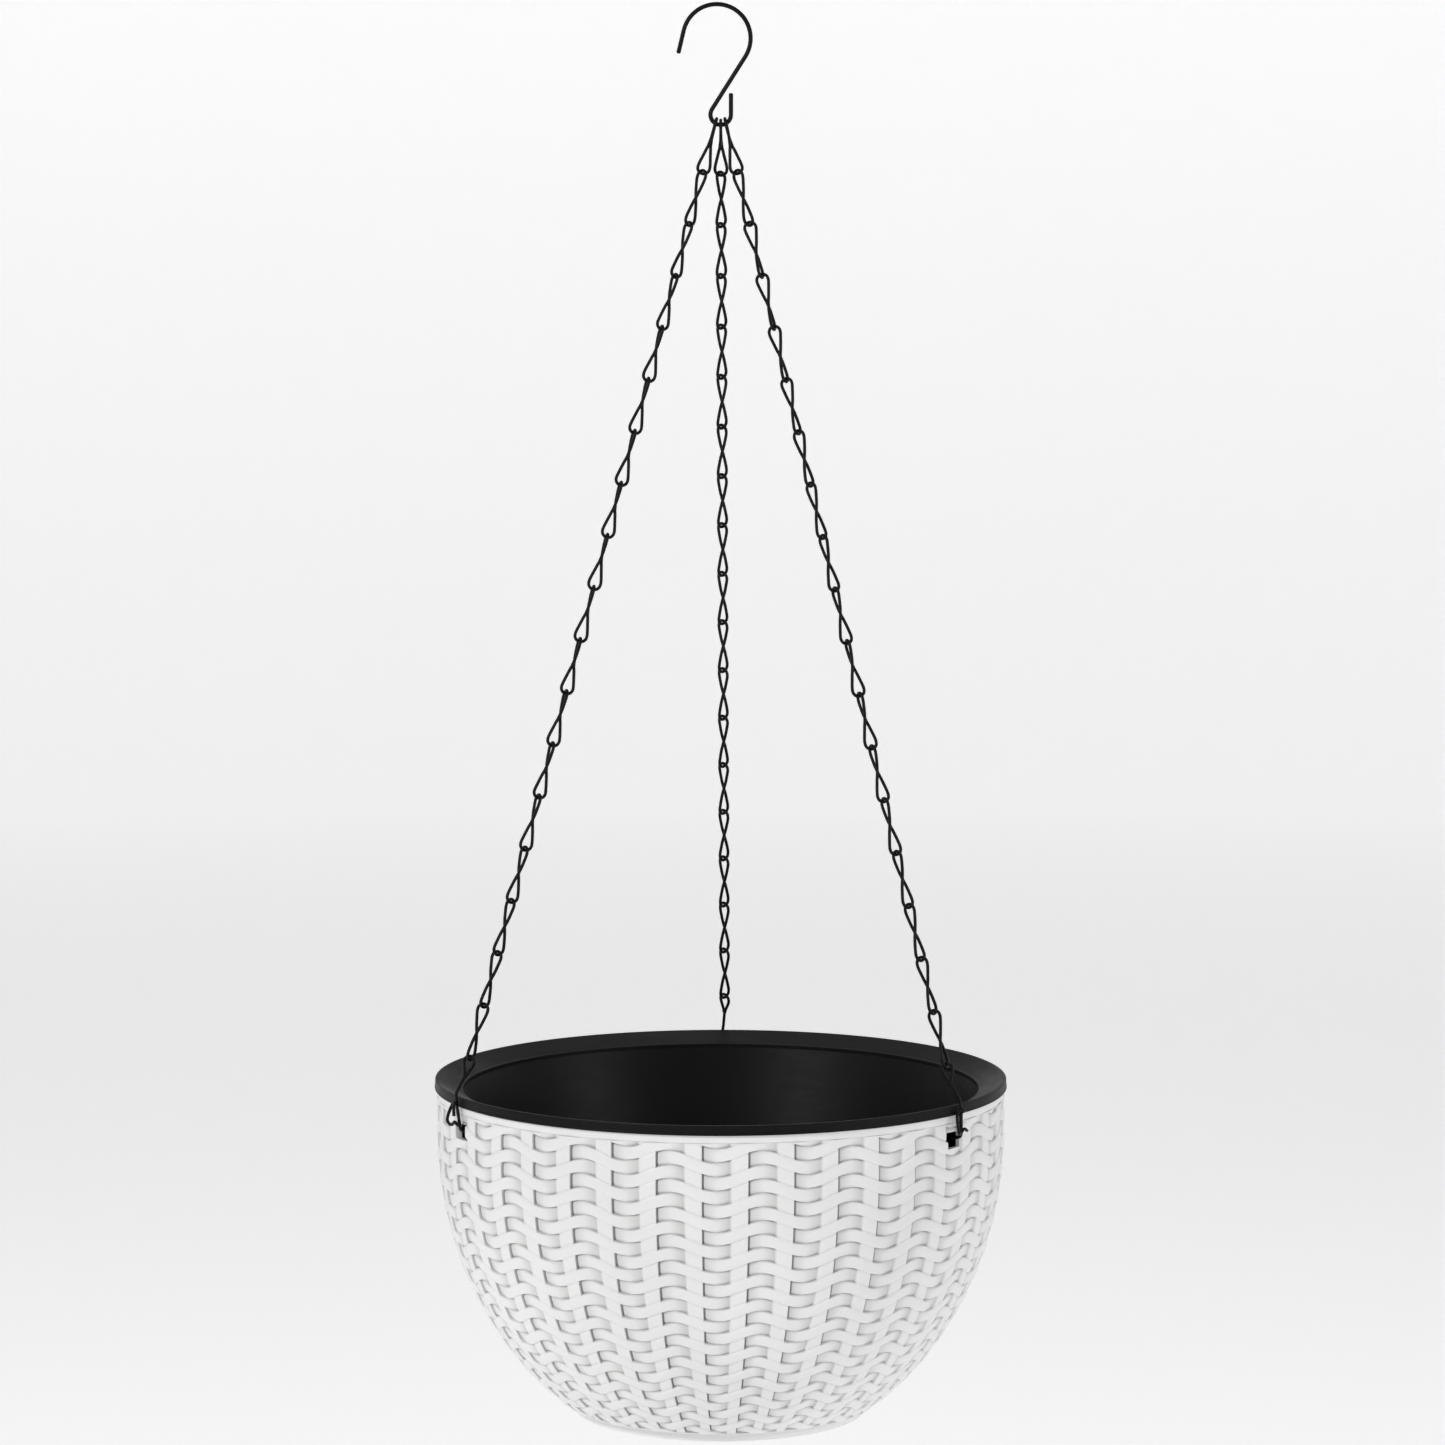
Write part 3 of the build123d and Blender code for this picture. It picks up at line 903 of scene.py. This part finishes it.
def stem_line(outward, waist, down):
    """From the waist over the rim, down the lip and in through the bowl's hole."""
    corner = by_rim(outward, end_radius - 1.0 * MM, -END_LEG_DROP, leg_side(END_LEG_DROP))
    to_apex = (Vector((0, 0, SWING_HEIGHT)) - corner).normalized()
    inward = (-outward + to_apex * outward.dot(to_apex)).normalized()
    over = by_rim(outward, end_radius, END_BEND, leg_side(-END_BEND))
    lip = by_rim(outward, end_radius, -LIP_HEIGHT, leg_side(LIP_HEIGHT))
    return bent([waist - down * 0.2 * MM, over, lip, corner, corner + inward * END_LEG], END_BEND)


# %% The end hook's latch
WRAP = 0.97 * LINK_WIRE / MM   # from the leg's middle to a wire that hugs it, in millimetres


def latch_lines(outward):
    """The latch beside the leg, and the spare end of wire."""
    # The rear latch lies flat against the bowl and the others spring away from it.
    bow = 0.0 if outward.y > 0 else 1.0

    def beside(out_by, drop, shift):
        """A place beside the leg: outward, below the rim and sideways, in millimetres."""
        return by_rim(outward, end_radius + bow * out_by * MM, -drop * MM, leg_side(drop * MM) + shift * MM)

    latch = [
        beside(0.75 * WRAP, 2.4, 0.75 * WRAP), beside(1.02 * WRAP, 2.2, 0.0), beside(0.5 * WRAP, 2.3, -WRAP),
        beside(0.6, 3.2, -3.4), beside(1.3, 6.0, -5.2), beside(2.2, 9.0, -6.2), beside(2.4, 11.0, -6.4),
        beside(2.0, 12.3, -5.4), beside(1.5, 12.4, -3.6), beside(1.3, 11.5, -2.2), beside(WRAP, 10.8, -0.7),
        beside(1.02 * WRAP, 11.0, 0.3), beside(0.75 * WRAP, 11.6, 1.5), beside(0.55 * WRAP, 11.9, 2.3),
    ]
    spare = [beside(0.9 * WRAP, 2.9, -0.7), beside(0.9, 4.2, -1.7), beside(0.9, 8.2, -2.2)]
    return latch, spare


# %% Bend the end hooks
for name, outward in chain_outward.items():
    _, down, pitch = chains[name]
    place = link_place(name, LINKS * pitch + END_EYE, 1.0)
    latch, spare = latch_lines(outward)
    lines = [
        smooth_line(eye_line(place), step=0.6 * MM),
        stem_line(outward, place.translation, down),
        smooth_line(latch, step=0.5 * MM),
        smooth_line(spare, step=0.5 * MM),
    ]
    node = "end_hook_" + name.split("_")[1]
    parts = [tube(line, LINK_WIRE / 2) for line in lines]
    make_piece("wire_" + node, *join(parts), WIRE, name, "black_wire", [node])
    print(node, "wire points", sum(len(line) for line in lines))

# %% [markdown]
# ## The S-hook
# A thicker rod: a wide open crown that drops over a rail, a slanting stem, and a tight lower
# bend for the three top links. Both ends are rounded by the coating. The stem touches both
# bends, and its slant follows from their radii and places.

# %% Sizes of the S-hook
HOOK_WIRE = 2.0 * MM
CROWN_RADIUS = 15.2 * MM
CROWN_OFFSET = 1.8 * MM
CROWN_LIMB = 11.0 * MM
CROWN_FLARE = 13.5             # degrees that the crown's open end stops short of half a turn
EYE_RADIUS = 4.6 * MM
EYE_LIMB = 10.0 * MM
inner_crown = CROWN_RADIUS - HOOK_WIRE / 2
crown = Vector((-CROWN_OFFSET, -math.sqrt(inner_crown ** 2 - CROWN_OFFSET ** 2)))
eye = Vector((0, SWING_HEIGHT + EYE_RADIUS))
reach = eye - crown
tangent = math.asin((CROWN_RADIUS + EYE_RADIUS) / reach.length)
slant = math.degrees(tangent - math.atan2(reach.x, -reach.y))
print("stem slants", round(slant, 1), "degrees")


# %% Bend the S-hook
END_ROUND = 0.45 * HOOK_WIRE


def arc(centre, radius, start, sweep, steps):
    """Points of an arc and the direction of travel at its two ends."""
    turns = [math.radians(start + sweep * k / steps) for k in range(steps + 1)]
    points = [centre + Vector((math.cos(t), math.sin(t))) * radius for t in turns]
    way = math.copysign(1, sweep)
    ends = [Vector((-math.sin(t), math.cos(t))) * way for t in (turns[0], turns[-1])]
    return points, ends


over, over_ways = arc(crown, CROWN_RADIUS, 180 - CROWN_FLARE, -(180 - CROWN_FLARE + slant), 64)
under, under_ways = arc(eye, EYE_RADIUS, 180 - slant, 180 + slant, 40)
tip = over[0] - over_ways[0] * (CROWN_LIMB - END_ROUND)
end = under[-1] + under_ways[1] * (EYE_LIMB - END_ROUND)
flat_line = [tip, (tip + over[0]) / 2] + over
flat_line += [over[-1].lerp(under[0], k / 4) for k in (1, 2, 3)] + under + [(under[-1] + end) / 2, end]
hook_line = [Vector((p.x, 0, p.y)) for p in flat_line]
make_piece("wire_s_hook", *tube(hook_line, HOOK_WIRE / 2, sides=24), WIRE, "hook", "black_wire", ["s_hook"])
print("hook points", len(hook_line))

# %% [markdown]
# ## Studio
# A white sweep that glows a little runs all round. A soft key stands at the upper left, with a
# weaker fill at the right and a light behind. The black rim takes its grey sheen from the key,
# and the woven relief reads from the change of light round the bowl.

# %% Lay the floor
FLOOR_GAP = 0.32               # from the bowl's foot down to the floor, metres
FLOOR_RADIUS = 5.0
SWEEP_RADIUS = 1.2


def sweep(outline, segments=96):
    """A floor that curves up into a low wall all round, turned from (radius, height) points."""
    turn = np.arange(segments) * 2 * np.pi / segments
    points = [[0, 0, outline[0][1]]]
    for radius, height in outline[1:]:
        ring = np.stack([radius * np.cos(turn), radius * np.sin(turn), np.full(segments, height)], -1)
        points += ring.tolist()
    faces = [[0, 1 + k, 1 + (k + 1) % segments] for k in range(segments)]
    faces += grid_faces(len(outline) - 1, segments, offset=1)
    floor = make_plain("floor", points, faces)
    floor.data.shade_smooth()
    glow = (1, 1, 1, 1)
    paint = Finish("sweep_paint", Specular_IOR_Level=0.0, Emission_Strength=0.36, Emission_Color=glow)
    tone = paint.noise(0.6, 2.0)
    white = paint.mix(tone, (0.88, 0.88, 0.88, 1), (0.90, 0.90, 0.90, 1))
    floor.data.materials.append(paint.wire(Base_Color=white, Roughness=0.85 + tone * 0.1))
    return floor


floor_z = FOOT_Z - FLOOR_GAP
bend = [(FLOOR_RADIUS + SWEEP_RADIUS * math.sin(t), floor_z + SWEEP_RADIUS - SWEEP_RADIUS * math.cos(t))
        for t in np.linspace(0, math.pi / 2, 12)]
wall_top = (FLOOR_RADIUS + SWEEP_RADIUS, floor_z + 2.6)
floor = sweep([(0, floor_z), (1.5, floor_z), (3.5, floor_z)] + bend + [wall_top])
print("floor", round(floor_z, 3))


# %% Place the lights
def soft_light(name, place, target, size, power):
    """A rectangular light that faces a target."""
    data = bpy.data.lights.new(name, "AREA")
    data.shape = "RECTANGLE"
    data.size, data.size_y = size
    data.energy = power
    light = bpy.data.objects.new(name, data)
    light.location = place
    light.rotation_euler = (Vector(target) - Vector(place)).to_track_quat("-Z", "Y").to_euler()
    bpy.context.scene.collection.objects.link(light)


middle = (0, 0, -0.5)
soft_light("key_light", (-1.7, -1.8, 0.9), middle, (0.36, 0.45), 33)
soft_light("fill_light", (2.2, -1.0, 0.3), middle, (0.4, 0.7), 14)
soft_light("top_light", (0.0, 0.9, 1.3), middle, (1.2, 1.2), 6)

world = bpy.data.worlds.new("surround")
world.use_nodes = True
background = world.node_tree.nodes["Background"]
background.inputs["Color"].default_value = (1.0, 1.0, 1.0, 1)
background.inputs["Strength"].default_value = 0.30
scene = bpy.context.scene
scene.world = world
scene.view_settings.view_transform = "Standard"

# %% [markdown]
# The camera stands 2.4 metres in front, above the rim's plane, and looks slightly down. A long
# lens from there fills the frame and keeps the perspective gentle.

# %% Set up the camera
CAMERA_PLACE = (0.0008, -2.38, -0.078)
CAMERA_DOWN = 5.87             # degrees below level
LENS = 131.1

camera_data = bpy.data.cameras.new("camera")
camera_data.lens = LENS
camera_data.sensor_width = 36
camera = bpy.data.objects.new("camera", camera_data)
camera.location = CAMERA_PLACE
camera.rotation_euler = (math.radians(90 - CAMERA_DOWN), 0, 0)
camera_data.clip_end = 200
scene.collection.objects.link(camera)
scene.camera = camera
print("camera", CAMERA_PLACE)
